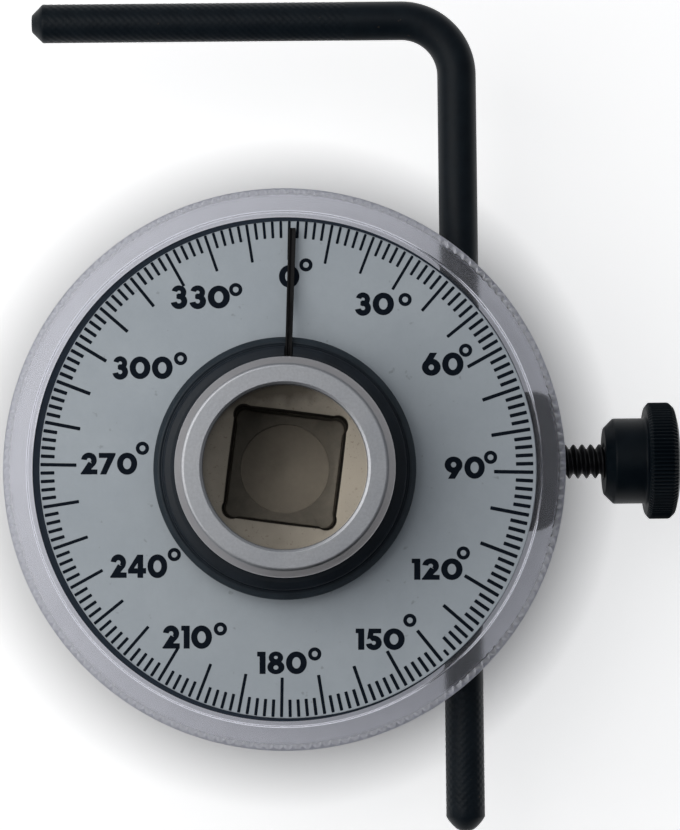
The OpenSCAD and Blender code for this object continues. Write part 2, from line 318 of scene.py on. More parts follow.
def make_materials():
    M = {}
    # satin plated steel with faint turning marks and smudges
    m = Mat("plated_steel", Metallic=1.0)
    r = m.radius()
    z = m.xyz()[2]
    ring = m.n("ShaderNodeCombineXYZ", {0: m.math("MULTIPLY", r, 9000.0), 1: m.math("MULTIPLY", z, 9000.0), 2: 0.0}).outputs[0]
    turned = m.noise(1.0, 3, 0.7, vector=ring)
    cloud = m.noise(220.0, 5, 0.6)
    speck = m.noise(2600.0, 2, 0.5)
    spots = m.remap(speck, 0.66, 0.72, 0.0, 1.0)
    col = m.mix(m.remap(cloud, 0.3, 0.7, 0, 1), (0.392, 0.404, 0.427), (0.440, 0.449, 0.468))
    col = m.mix(m.math("MULTIPLY", spots, 0.18), col, (0.30, 0.29, 0.28))
    col = m.mix(m.remap(m.noise(3000.0, 4, 0.65), 0.35, 0.65, 0.0, 0.32), col, (0.27, 0.27, 0.285))
    # the front chamfer is given a paler tone
    edge = m.math("MULTIPLY", m.remap(r, 0.01205, 0.0122, 0.0, 1.0), m.remap(z, 0.0438, 0.0442, 0.0, 0.7))
    col = m.mix(edge, col, (0.525, 0.508, 0.512))
    m.link(col, "Base Color")
    rough = m.math("ADD", m.remap(cloud, 0.3, 0.7, 0.35, 0.43), m.remap(turned, 0.3, 0.7, -0.05, 0.06))
    m.link(rough, "Roughness")
    m.bump(m.math("ADD", m.math("MULTIPLY", turned, 0.3), m.math("MULTIPLY", speck, 0.7)), 0.45, 0.00002)
    M["plated_steel"] = m
    # bare warm-toned steel inside the recess and the socket
    m = Mat("bare_steel", Metallic=1.0)
    cloud = m.noise(300.0, 5, 0.62)
    fine = m.noise(2400.0, 3, 0.6)
    col = m.mix(m.remap(cloud, 0.3, 0.7, 0, 1), (0.21, 0.186, 0.151), (0.262, 0.235, 0.194))
    col = m.mix(m.remap(fine, 0.60, 0.70, 0.0, 0.5), col, (0.11, 0.08, 0.055))
    # painted shade: the floor colour darkens along the upper side of the recess, where its wall casts a shadow
    p = m.xyz()
    shade_lean = m.math("ADD", m.math("MULTIPLY", p[1], 0.985), m.math("MULTIPLY", p[0], -0.17))
    shade_lean = m.math("ADD", shade_lean, m.remap(m.noise(420.0, 3, 0.55), 0.3, 0.7, -0.0007, 0.0007))
    col = m.mix(m.remap(shade_lean, 0.0067, 0.0086, 0.0, 0.80), col, (0.075, 0.064, 0.050))
    m.link(col, "Base Color")
    m.link(m.remap(cloud, 0.3, 0.7, 0.38, 0.48), "Roughness")
    m.set("Metallic", 0.9)
    m.bump(fine, 0.2, 0.00003)
    M["bare_steel"] = m
    # painted shade: the lip and walls of the square are made near-black, where the deep hole falls into shadow
    M["lip_shade_steel"] = plain("lip_shade_steel", (0.006, 0.005, 0.004), (0.014, 0.012, 0.009), (0.5, 0.65), scale=900.0, bump=0.2, spec=0.1)
    M["wall_steel"] = plain("wall_steel", (0.022, 0.019, 0.015), (0.045, 0.039, 0.031), (0.36, 0.50), metallic=0.6, scale=800.0, bump=0.25, spec=0.3)
    M["ledge_steel"] = plain("ledge_steel", (0.195, 0.172, 0.138), (0.28, 0.248, 0.200), (0.5, 0.65), metallic=0.4, scale=700.0, bump=0.3, spec=0.3)
    M["pilot_steel"] = plain("pilot_steel", (0.172, 0.149, 0.118), (0.228, 0.200, 0.160), (0.42, 0.55), metallic=0.8, scale=500.0, bump=0.2, spec=0.3)
    # painted shadow: near-black film, seen in the gap left of the plate, standing in for the rim's shadow there
    M["backing_black"] = plain("backing_black", (0.017, 0.027, 0.043), (0.023, 0.035, 0.054), (0.5, 0.65), scale=700.0, bump=0.1, spec=0.2)
    # collar: anodised black, with a painted highlight: its outer step is paler, where that edge catches the light
    m = Mat("collar_black", Specular_IOR_Level=0.28)
    sheen_band = m.remap(m.radius(), 0.0147, 0.0152, 0.0, 1.0)
    cloud = m.noise(350.0, 5, 0.6)
    fine = m.noise(3000.0, 3, 0.6)
    mottle = m.remap(cloud, 0.3, 0.7, 0, 1)
    m.link(m.mix(sheen_band, m.mix(mottle, (0.006, 0.0105, 0.0165), (0.0115, 0.0185, 0.0275)), m.mix(mottle, (0.018, 0.027, 0.035), (0.028, 0.040, 0.052))), "Base Color")
    m.link(m.remap(m.math("ADD", m.math("MULTIPLY", cloud, 0.6), m.math("MULTIPLY", fine, 0.4)), 0.3, 0.7, 0.38, 0.52), "Roughness")
    m.bump(fine, 0.12, 0.00003)
    M["collar_black"] = m
    M["needle_black"] = plain("needle_black", (0.004, 0.004, 0.005), (0.008, 0.0075, 0.0075), (0.40, 0.55), scale=900.0, spec=0.2)
    # clear plastic, polished in the floor, hazed on the rim
    m = Mat("clear_plastic", IOR=1.49, Specular_IOR_Level=0.22)
    r = m.radius()
    rim = m.remap(r, 0.0305, 0.0310, 0.0, 1.0)
    edge = m.remap(r, 0.0329, 0.0333, 0.0, 1.0)
    cloud = m.noise(260.0, 4, 0.6)
    vary = m.remap(cloud, 0.3, 0.7, 0.8, 1.2)
    m.link(m.mix(m.remap(cloud, 0.3, 0.7, 0.0, 1.0), (0.785, 0.795, 0.875), (0.82, 0.83, 0.91)), "Base Color")
    haze = m.math("ADD", m.remap(rim, 0.0, 1.0, 0.02, 0.21), m.remap(edge, 0.0, 1.0, 0.0, 0.16))
    m.link(m.math("MULTIPLY", haze, vary), "Roughness")
    m.link(m.math("SUBTRACT", m.remap(rim, 0.0, 1.0, 1.0, 0.955), m.remap(edge, 0.0, 1.0, 0.0, 0.30)), "Transmission Weight")
    M["clear_plastic"] = m
    # matt grey scale plate
    m = Mat("scale_grey", Metallic=0.15, Specular_IOR_Level=0.3)
    cloud = m.noise(120.0, 5, 0.6)
    fine = m.noise(3200.0, 3, 0.6)
    dirt = m.noise(900.0, 2, 0.5)
    col = m.mix(m.remap(cloud, 0.3, 0.7, 0, 1), (0.470, 0.519, 0.562), (0.516, 0.565, 0.604))
    col = m.mix(m.remap(m.noise(800.0, 4, 0.6), 0.32, 0.68, 0.0, 0.14), col, (0.385, 0.43, 0.46))
    col = m.mix(m.remap(dirt, 0.71, 0.78, 0.0, 0.35), col, (0.16, 0.17, 0.18))
    m.link(col, "Base Color")
    m.link(m.remap(fine, 0.3, 0.7, 0.46, 0.60), "Roughness")
    m.bump(fine, 0.10, 0.00002)
    M["scale_grey"] = m
    M["ink"] = plain("ink", (0.0025, 0.0062, 0.013), (0.006, 0.0105, 0.019), (0.55, 0.70), scale=1400.0, bump=0.05, spec=0.08)
    m = plain("rod_black", (0.0028, 0.0062, 0.0102), (0.0062, 0.0112, 0.0162), (0.38, 0.52), scale=500.0, bump=0.15, spec=0.16)
    # a few rusty specks
    finish = m.b.inputs["Base Color"].links[0].from_socket
    m.link(m.mix(m.remap(m.noise(1100.0, 2, 0.5), 0.73, 0.77, 0.0, 0.6), finish, (0.055, 0.040, 0.030)), "Base Color")
    M["rod_black"] = m
    M["stud_black"] = plain("stud_black", (0.003, 0.003, 0.004), (0.006, 0.006, 0.008), (0.38, 0.5), scale=700.0, spec=0.3)
    M["knob_black"] = plain("knob_black", (0.0018, 0.0044, 0.0074), (0.004, 0.0078, 0.0115), (0.36, 0.48), scale=420.0, bump=0.1, spec=0.11)
    M["housing_black"] = plain("housing_black", (0.006, 0.008, 0.010), (0.012, 0.014, 0.017), (0.42, 0.56), scale=260.0, bump=0.3, grain=1600.0, depth=0.00006, spec=0.3)
    M["clip_black"] = plain("clip_black", (0.03, 0.03, 0.031), (0.055, 0.054, 0.052), (0.4, 0.55), metallic=0.7, scale=600.0)
    M["washer_steel"] = plain("washer_steel", (0.50, 0.50, 0.50), (0.62, 0.62, 0.63), (0.28, 0.4), metallic=1.0, scale=300.0, bump=0.05)
    M["spring_steel"] = plain("spring_steel", (0.32, 0.32, 0.33), (0.46, 0.46, 0.47), (0.25, 0.38), metallic=1.0, scale=700.0, bump=0.05)
    M["bearing_steel"] = plain("bearing_steel", (0.68, 0.68, 0.69), (0.76, 0.76, 0.77), (0.08, 0.16), metallic=1.0, scale=500.0, bump=0.02)
    M["bronze"] = plain("bronze", (0.40, 0.27, 0.12), (0.55, 0.38, 0.18), (0.35, 0.5), metallic=1.0, scale=800.0, bump=0.2)
    M["brass"] = plain("brass", (0.58, 0.43, 0.17), (0.70, 0.54, 0.24), (0.25, 0.38), metallic=1.0, scale=600.0, bump=0.08)
    M["nylon"] = plain("nylon", (0.74, 0.73, 0.68), (0.84, 0.83, 0.78), (0.4, 0.5), scale=500.0, bump=0.06)
    M["seal_rubber"] = plain("seal_rubber", (0.012, 0.012, 0.012), (0.022, 0.022, 0.022), (0.5, 0.65), scale=600.0)
    return M


MATS = make_materials()


def dress(ob, mat, body, node=None):
    """Material, body and the CAD node it stands for, of a finished piece."""
    if isinstance(mat, str):
        ob.data.materials.append(MATS[mat].m)
    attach(ob, body)
    if node:
        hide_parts(node)
    return ob


# ---------------------------------------------------------------- spindle
def square_radius(th, af, corner):
    return np.minimum((af / 2) / np.maximum(np.abs(np.cos(th)), np.abs(np.sin(th))), corner)


def socket_radius(th, af=12.85):
    """Female square: flats plus a small relief circle in each corner."""
    r = square_radius(th, af, af * 0.65)
    e = af / 2 - 1.06
    d = e * (np.abs(np.cos(th)) + np.abs(np.sin(th)))
    disc = d * d - (2 * e * e - 1.2 ** 2)
    r2 = np.where(disc > 0, d + np.sqrt(np.maximum(disc, 0)), 0)
    return np.maximum(r, r2)


def make_spindle():
    n = 480
    th = np.arange(n) * TAU / n
    rm = square_radius(th, 12.7, 8.4)
    rf = socket_radius(th)
    ones = np.ones(n)
    loops = []

    def put(r, z):
        r = r * ones
        z = z * ones
        a = th + SQ_ANG
        loops.append(np.stack([r * np.cos(a), r * np.sin(a), z], -1))

    put(5.7, 0.0)
    put(5.88, 0.02)
    put(6.02, 0.10)
    put(rm - 0.16, rm - 0.16 - 6.0 + 0.06)
    put(rm - 0.05, rm - 6.0 + 0.06)
    put(rm, rm - 6.0 + 0.22)
    put(rm, 15.1)
    put(rm + 0.03, 15.26)
    put(rm + 0.12, 15.40)
    put(rm + 0.28, 15.48)
    put(rm + 0.45, 15.5)
    prof = round_path([(9.6, 15.5), (10.6, 15.5, 0.12), (11.0, 15.9, 0.12), (11.0, 16.3, 0.05), (10.4, 16.3, 0.08), (10.4, 17.5, 0.08),
                       (11.0, 17.5, 0.05), (11.0, 32.6, 0.1), (12.65, 32.6, 0.08), (12.95, 32.9, 0.08), (12.92, 44.1, 0.35),
                       (11.98, 45.0, 0.56), (9.97, 45.0, 0.25), (9.66, 44.875, 0.05), (9.64, 43.43, 0.04), (9.36, 43.36)], 7)
    for r, z in prof:
        put(r, z)

    def floor_z(r):
        return 43.4 - (9.65 - r) * (0.7 / 3.45)

    for dr, dz in ((0.40, 0.0), (0.27, 0.01), (0.14, 0.05), (0.06, 0.13), (0.015, 0.26), (0.0, 0.45)):
        put(rf + dr, floor_z(rf + dr) - dz)
    put(rf, 39.05)
    put(rf, 29.25)
    put(rf - 0.07, 29.07)
    put(rf - 0.25, 29.0)
    prof = round_path([(5.75, 29.0), (5.4, 29.0), (5.39, 27.82), (3.0, 27.66), (0.5, 27.52)], 5)
    for r, z in prof:
        put(r, z)
    v, f = skin(loops, cap0=(0, 0, 0), cap1=(0, 0, 27.5))
    ob = mesh_object("drive_spindle_body", v, f, sharp=40)
    # detent hole with staked lip, and the four dimples of the socket
    tools = []
    base = turn_z(SQ_ANG) @ along_y(0, 0, 7.5)
    tools.append(tool([(0, -6.2), (2.05, -6.2), (2.05, -0.5), (0, -0.5)], base))
    tools.append(tool([(0, -8.0), (2.3, -8.0), (2.3, -6.42), (1.8, -6.28), (1.8, -5.9), (0, -5.9)], base))
    for k in range(4):
        prof = [(0, -1.9)] + [(1.9 * math.sin(a), -1.9 * math.cos(a)) for a in np.linspace(0.12, math.pi - 0.12, 18)] + [(0, 1.9)]
        tools.append(tool(prof, turn_z(SQ_ANG + k * math.pi / 2) @ along_x(6.425 + 1.1, 0, 36.4), 32))
    cut(ob, tools, sharp=40)
    ob.data.materials.append(MATS["plated_steel"].m)
    ob.data.materials.append(MATS["bare_steel"].m)
    ob.data.materials.append(MATS["lip_shade_steel"].m)
    ob.data.materials.append(MATS["ledge_steel"].m)
    ob.data.materials.append(MATS["pilot_steel"].m)
    ob.data.materials.append(MATS["wall_steel"].m)
    for p in ob.data.polygons:
        c = p.center / MM
        r = math.hypot(c.x, c.y)
        if 24 < c.z < 44.97 and r < 9.50:
            a = np.array([math.atan2(c.y, c.x) - SQ_ANG])
            rs = float(socket_radius(a)[0])
            # the lip and walls get the near-black materials: painted shade
            if 39.0 < c.z and r < rs + 0.26:
                p.material_index = 2          # lip of the square
            elif 29.2 < c.z < 39.1 and r < rs + 0.05:
                p.material_index = 5          # walls
            elif c.z < 39.1 and r > 5.30:
                p.material_index = 3          # dimples, and the ledge left in the corners
            else:
                p.material_index = 1 if c.z > 30 else 4
    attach(ob, "spindle")
    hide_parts("drive_spindle")
    return ob


def make_spring():
    """Detent spring, drawn short enough to leave room for the ball's full travel."""
    n, m, turns = 16, 240, 3.6
    length, coil, wire = 1.80, 1.35, 0.2
    loops = []
    for i in range(m + 1):
        t = i / m
        a = t * turns * TAU
        # closed end turns, open middle
        y = length * (0.86 * t + 0.14 * (t - math.sin(TAU * t) / TAU))
        ring = []
        for k in range(n):
            q = k * TAU / n
            rr = coil + wire * math.cos(q)
            ring.append((rr * math.cos(a), rr * math.sin(a), y + wire * math.sin(q)))
        loops.append(ring)
    v, f = skin(loops, cap0="ngon", cap1="ngon")
    # local +Z runs along -Y of the square, from the bottom of the hole
    v = [(x, -0.75 - z, 7.5 + y) for x, y, z in v]
    ob = mesh_object("detent_spring_coil", moved(v, turn_z(SQ_ANG)), f, sharp=50)
    return dress(ob, "spring_steel", "spindle", "detent_spring")


# ---------------------------------------------------------------- pointer
def make_collar():
    prof = round_path([(12.97, 33.3), (14.75, 33.3, 0.1), (14.75, 31.0), (15.1, 31.0), (15.7, 31.0, 0.15), (15.7, 34.55, 0.45), (15.05, 35.2, 0.3),
                       (14.72, 35.05, 0.12), (14.55, 35.2, 0.12), (14.5, 36.25, 0.4), (13.6, 36.5, 0.5), (13.12, 36.5, 0.1), (12.97, 36.3), (12.97, 33.3)], 5)[:-1]
    v, f = spin(prof, 288)
    ob = mesh_object("pointer_collar_ring", v, f, sharp=45)
    c = NEEDLE_ANG
    box = [(sx * 0.52, y, z) for z in (35.2, 38.0) for y in (12.2, 17.0) for sx in (-1, 1)]
    faces = [(0, 1, 3, 2), (4, 6, 7, 5), (0, 4, 5, 1), (2, 3, 7, 6), (0, 2, 6, 4), (1, 5, 7, 3)]
    t = mesh_object("tool", moved(box, turn_z(c)), faces)
    cut(ob, [t], sharp=45)
    return dress(ob, "collar_black", "spindle", "pointer_collar")


def make_needle():
    """Folded strip with a shallow valley along its middle, swept down from the collar to the scale."""
    top = round_path([(13.05, 35.92), (16.0, 35.92, 1.2), (20.0, 32.35, 1.6), (29.0, 31.8)], 8)
    bot = round_path([(13.05, 35.22), (15.75, 35.22, 0.7), (19.8, 31.7, 2.0), (29.0, 31.2)], 8)

    def resample(p, m):
        p = np.array(p)
        s = np.r_[0, np.cumsum(np.hypot(*np.diff(p, axis=0).T))]
        t = np.linspace(0, s[-1], m)
        return np.stack([np.interp(t, s, p[:, 0]), np.interp(t, s, p[:, 1])], -1)

    m = 60
    top, bot = resample(top, m), resample(bot, m)
    loops = []
    for i in range(m):
        k = i / (m - 1)
        w = 0.41 + 0.04 * k - 0.05 * max(0.0, (k - 0.97) / 0.03)
        (yt, zt), (yb, zb) = top[i], bot[i]
        up = np.array([0, yt - yb, zt - zb])
        h = np.linalg.norm(up)
        sec = [(-w, 0.08), (-w, 0.9), (-w + 0.06, 1.0), (-w + 0.16, 1.0), (-0.02, 0.72), (0.02, 0.72), (w - 0.16, 1.0), (w - 0.06, 1.0),
               (w, 0.9), (w, 0.08), (w - 0.07, 0.0), (-w + 0.07, 0.0)]
        loops.append([(x, yb + (yt - yb) * q, zb + (zt - zb) * q) for x, q in sec])
    v, f = skin(loops, cap0="ngon", cap1="ngon")
    ob = mesh_object("pointer_needle_strip", moved(v, turn_z(NEEDLE_ANG)), f, sharp=30)
    return dress(ob, "needle_black", "spindle", "pointer_needle")


# ---------------------------------------------------------------- dial
def make_dish():
    prof = round_path([(14.06, 28.05), (29.0, 28.05), (33.7, 28.05, 0.35), (34.0, 28.5, 0.3), (34.0, 29.35, 0.12), (33.66, 29.6, 0.1), (33.66, 31.6, 0.4), (33.1, 32.3, 0.4), (31.05, 32.3, 0.06), (30.97, 32.22, 0.06),
                       (30.97, 30.1, 0.08), (30.6, 30.1), (14.06, 30.1), (14.06, 28.05)], 5)[:-1]
    # more points up the serrated wall
    out = []
    for a, b in zip(prof, prof[1:] + prof[:1]):
        out.append(a)
        if abs(a[0] - 33.66) < 0.02 and abs(b[0] - 33.66) < 0.02 and abs(a[1] - b[1]) > 1:
            out += [(33.66, a[1] + (b[1] - a[1]) * k / 6) for k in range(1, 6)]
    n = 180 * 10

    def shape(r, z, th):
        """Finger notches round the upper edge; a plain lip is left below them."""
        if r < 32.8 or z < 29.5:
            return np.full(len(th), r)
        w = min(1.0, (r - 32.8) / 0.6) * min(1.0, (z - 29.5) / 0.2)
        wave = 0.5 - 0.5 * np.cos(180 * th)
        return r - 0.32 * w * wave ** 2.0

    v, f = spin(out, n, shape)
    ob = mesh_object("dial_dish_clear", v, f, sharp=50)
    return dress(ob, "clear_plastic", "dial", "dial_dish")


# the off-centre plate bares the dark backing along its left edge, where it shows as a painted shadow crescent
PLATE_R, PLATE_X, PLATE_Y = 29.95, 0.42, -0.06   # the plate is stuck down a little off centre


# the backing's near-black colour is a painted shadow, the dark crescent inside the rim at the left
def make_backing():
    prof = round_path([(15.1, 30.105), (30.4, 30.105, 0.02), (30.4, 30.215, 0.04), (15.1, 30.215, 0.03), (15.1, 30.105)], 3)[:-1]
    v, f = spin(prof, 360)
    ob = mesh_object("scale_backing_shadow_film", v, f, sharp=45)
    return dress(ob, "backing_black", "dial", "scale_backing")


def make_plate():
    prof = round_path([(14.9, 30.22), (PLATE_R, 30.22, 0.05), (PLATE_R, 30.6, 0.12), (14.9, 30.6, 0.1), (14.9, 30.22)], 4)[:-1]
    v, f = spin(prof, 360)
    ob = mesh_object("scale_plate_disc", np.array(v) + np.array([PLATE_X, PLATE_Y, 0]), f, sharp=45)
    return dress(ob, "scale_grey", "dial", "scale_plate")


def plate_edge(a):
    """Distance from the spindle axis to the edge of the plate, at an angle clockwise from +Y."""
    k = PLATE_X * math.sin(a) + PLATE_Y * math.cos(a)
    return k + math.sqrt(k * k - PLATE_X ** 2 - PLATE_Y ** 2 + PLATE_R ** 2)


def bar(verts, faces, a, r0, r1, w, z0, z1):
    """One printed tick: a thin box along a radius, round-cornered at its ends."""
    c = 0.06
    out = [(r0, -w / 2 + c), (r0 + c, -w / 2), (r1 - c, -w / 2), (r1, -w / 2 + c), (r1, w / 2 - c), (r1 - c, w / 2), (r0 + c, w / 2), (r0, w / 2 - c)]
    u = (math.sin(a), math.cos(a))
    p = (math.cos(a), -math.sin(a))
    k = len(verts)
    m = len(out)
    for z in (z0, z1):
        for r, s in out:
            verts.append((u[0] * r + p[0] * s, u[1] * r + p[1] * s, z))
    faces.append(tuple(k + i for i in range(m))[::-1])
    faces.append(tuple(k + m + i for i in range(m)))
    for i in range(m):
        j = (i + 1) % m
        faces.append((k + i, k + j, k + m + j, k + m + i))


# the print is uneven: weight of the ticks round the scale
PRINT_WEIGHT = ([22, 67, 112, 157, 202, 247, 292, 337], [0.74, 0.97, 1.0, 0.91, 0.81, 0.86, 0.99, 0.78])


def make_ticks():
    verts, faces = [], []
    for i in range(180):
        d = i * 2
        a = math.radians(d - PRINT_ANG)
        long = d % 10 == 0
        r0 = 25.15 if long else 27.8
        w = 0.44 * float(np.interp(d, PRINT_WEIGHT[0], PRINT_WEIGHT[1], period=360))
        if d == 138:   # a worn tick, only its outer end left
            bar(verts, faces, a, 29.0, 29.85, 0.36, Z_PLATE - 0.01, Z_PLATE + 0.02)
            continue
        bar(verts, faces, a, r0, min(29.9, plate_edge(a) - 0.05), w, Z_PLATE - 0.01, Z_PLATE + 0.02)
    verts = np.array(verts) + np.array([0.07, 0.04, 0])
    ob = mesh_object("dial_print_ticks", verts, faces)
    return dress(ob, "ink", "dial")


# digits drawn as distance fields on a unit-high box, then traced
def ell(x, y, cx, cy, a, b):
    return (np.sqrt(((x - cx) / a) ** 2 + ((y - cy) / b) ** 2) - 1) * min(a, b)


def poly(x, y, pts):
    """Signed distance to a polygon."""
    d = np.full(x.shape, 1e9)
    inside = np.zeros(x.shape, bool)
    n = len(pts)
    for i in range(n):
        ax, ay = pts[i]
        bx, by = pts[(i + 1) % n]
        ex, ey = bx - ax, by - ay
        t = np.clip(((x - ax) * ex + (y - ay) * ey) / (ex * ex + ey * ey), 0, 1)
        d = np.minimum(d, np.hypot(x - ax - t * ex, y - ay - t * ey))
        cond = (ay > y) != (by > y)
        with np.errstate(divide="ignore", invalid="ignore"):
            cross = x < (bx - ax) * (y - ay) / (by - ay if by != ay else 1e-12) + ax
        inside ^= cond & cross
    return np.where(inside, -d, d)


def arc(x, y, cx, cy, ro, ri, a0, a1):
    """Band of a ring from angle a0 clockwise to a1, degrees."""
    r = np.hypot(x - cx, y - cy)
    a = np.degrees(np.arctan2(y - cy, x - cx))
    span = (a0 - a1) % 360
    off = (a0 - a) % 360
    band = np.maximum(r - ro, ri - r)
    past = np.minimum(np.where(off > span, off - span, 0), 360 - off)
    side = np.where(off > span, np.radians(past) * np.maximum(r, 0.05), -0.5)
    return np.maximum(band, side)


def glyph(ch, x, y):
    mn = np.minimum
    if ch == "0":
        return np.maximum(ell(x, y, 0.46, 0.5, 0.46, 0.51), -ell(x, y, 0.46, 0.5, 0.20, 0.275))
    if ch == "1":
        return poly(x, y, [(0, 0.80), (0, 1.0), (0.36, 1.0), (0.36, 0), (0.11, 0), (0.11, 0.80)])
    if ch == "2":
        f = arc(x, y, 0.375, 0.66, 0.355, 0.115, 172, -42)
        f = mn(f, poly(x, y, [(0.36, 0.58), (0.64, 0.43), (0.36, 0.12), (0.0, 0.0), (0.0, 0.03)]))
        return mn(f, poly(x, y, [(0.0, 0.0), (0.76, 0.0), (0.76, 0.22), (0.30, 0.22), (0.0, 0.06)]))
    if ch == "3":
        f = arc(x, y, 0.36, 0.715, 0.305, 0.09, 165, -100)
        f = mn(f, arc(x, y, 0.36, 0.305, 0.345, 0.105, 100, -168))
        return mn(f, poly(x, y, [(0.26, 0.44), (0.42, 0.40), (0.46, 0.62), (0.26, 0.61)]))
    if ch == "4":
        f = poly(x, y, [(0.44, 1.0), (0.70, 1.0), (0.70, 0.41), (0.84, 0.41), (0.84, 0.19), (0.70, 0.19), (0.70, 0), (0.45, 0), (0.45, 0.19), (0, 0.19), (0, 0.35)])
        return np.maximum(f, -poly(x, y, [(0.46, 0.68), (0.46, 0.40), (0.26, 0.40)]))
    if ch == "5":
        f = arc(x, y, 0.34, 0.325, 0.345, 0.105, 128, -168)
        f = mn(f, poly(x, y, [(0.13, 1.0), (0.66, 1.0), (0.66, 0.79), (0.32, 0.79), (0.29, 0.60), (0.12, 0.52), (0.06, 0.50)]))
        return f
    if ch == "6":
        f = np.maximum(ell(x, y, 0.42, 0.36, 0.40, 0.375), -ell(x, y, 0.42, 0.355, 0.13, 0.135))
        return mn(f, np.maximum(poly(x, y, [(0.36, 1.0), (0.66, 1.0), (0.44, 0.62), (0.30, 0.50), (0.06, 0.48)]), -ell(x, y, 0.42, 0.355, 0.13, 0.135)))
    if ch == "9":
        return glyph("6", 0.82 - x, 0.985 - y)
    if ch == "7":
        return poly(x, y, [(0, 1), (0.76, 1), (0.76, 0.93), (0.33, 0), (0.06, 0), (0.40, 0.78), (0, 0.78)])
    if ch == "8":
        f = mn(ell(x, y, 0.39, 0.735, 0.315, 0.275), ell(x, y, 0.39, 0.30, 0.375, 0.31))
        f = np.maximum(f, -ell(x, y, 0.39, 0.745, 0.10, 0.085))
        return np.maximum(f, -ell(x, y, 0.39, 0.285, 0.125, 0.11))
    if ch == "o":
        return np.maximum(ell(x, y, 0.29, 0.29, 0.295, 0.295), -ell(x, y, 0.29, 0.29, 0.145, 0.145))
    raise ValueError(ch)


WIDTH = {"0": 0.92, "1": 0.36, "2": 0.76, "3": 0.71, "4": 0.84, "5": 0.69, "6": 0.82, "7": 0.76, "8": 0.77, "9": 0.82}


def contours(f, x0, y0, h):
    """Marching squares: closed loops of the zero line of a field sampled every h."""
    ny, nx = f.shape
    seg = {}

    def cross(i, j, di, dj):
        a, b = f[i, j], f[i + di, j + dj]
        t = a / (a - b)
        return (x0 + (j + dj * t) * h, y0 + (i + di * t) * h)

    for i in range(ny - 1):
        for j in range(nx - 1):
            c = (f[i, j] < 0, f[i, j + 1] < 0, f[i + 1, j + 1] < 0, f[i + 1, j] < 0)
            if all(c) or not any(c):
                continue
            e = {0: ("h", i, j), 1: ("v", i, j + 1), 2: ("h", i + 1, j), 3: ("v", i, j)}
            cuts = [k for k in range(4) if c[k] != c[(k + 1) % 4]]
            if len(cuts) == 2:
                pairs = [cuts]
            else:
                pairs = [(0, 1), (2, 3)] if (f[i, j] + f[i + 1, j + 1] < 0) == c[0] and c[0] else [(3, 0), (1, 2)]
            for a, b in pairs:
                # inside on the left
                p, q = (a, b) if c[a] else (b, a)
                seg.setdefault(e[p], []).append(e[q])

    def point(k):
        kind, i, j = k
        return cross(i, j, 0, 1) if kind == "h" else cross(i, j, 1, 0)

    loops = []
    while seg:
        start = next(iter(seg))
        loop = [start]
        cur = seg[start].pop()
        if not seg[start]:
            del seg[start]
        while cur != start:
            loop.append(cur)
            if cur not in seg:
                break
            nxt = seg[cur].pop()
            if not seg[cur]:
                del seg[cur]
            cur = nxt
        loops.append([point(k) for k in loop])
    return loops


def simplify(pts, tol):
    """Drops points closer than tol to the line of their neighbours."""
    pts = np.array(pts)
    k = int(np.argmax(np.hypot(*(pts - pts.mean(0)).T)))
    pts = np.roll(pts, -k, axis=0)
    far = int(np.argmax(np.hypot(*(pts - pts[0]).T)))

    def rdp(a):
        if len(a) < 3:
            return [tuple(a[0])]
        d = a[-1] - a[0]
        L = np.hypot(*d)
        dist = np.abs(d[0] * (a[:, 1] - a[0, 1]) - d[1] * (a[:, 0] - a[0, 0])) / L if L > 1e-9 else np.hypot(*(a - a[0]).T)
        i = int(np.argmax(dist))
        if dist[i] < tol:
            return [tuple(a[0])]
        return rdp(a[: i + 1]) + rdp(a[i:])

    return rdp(pts[: far + 1]) + rdp(np.r_[pts[far:], pts[:1]])


def glyph_loops(ch):
    h = 0.0125
    w = WIDTH.get(ch, 0.58)
    xs = np.arange(-0.06, w + 0.06, h)
    ys = np.arange(-0.06, 1.08, h)
    X, Y = np.meshgrid(xs, ys)
    f = glyph(ch, X, Y) - 0.010
    f[f == 0] = 1e-9
    return [simplify(l, 0.0025) for l in contours(f, xs[0], ys[0], h) if len(l) > 6]


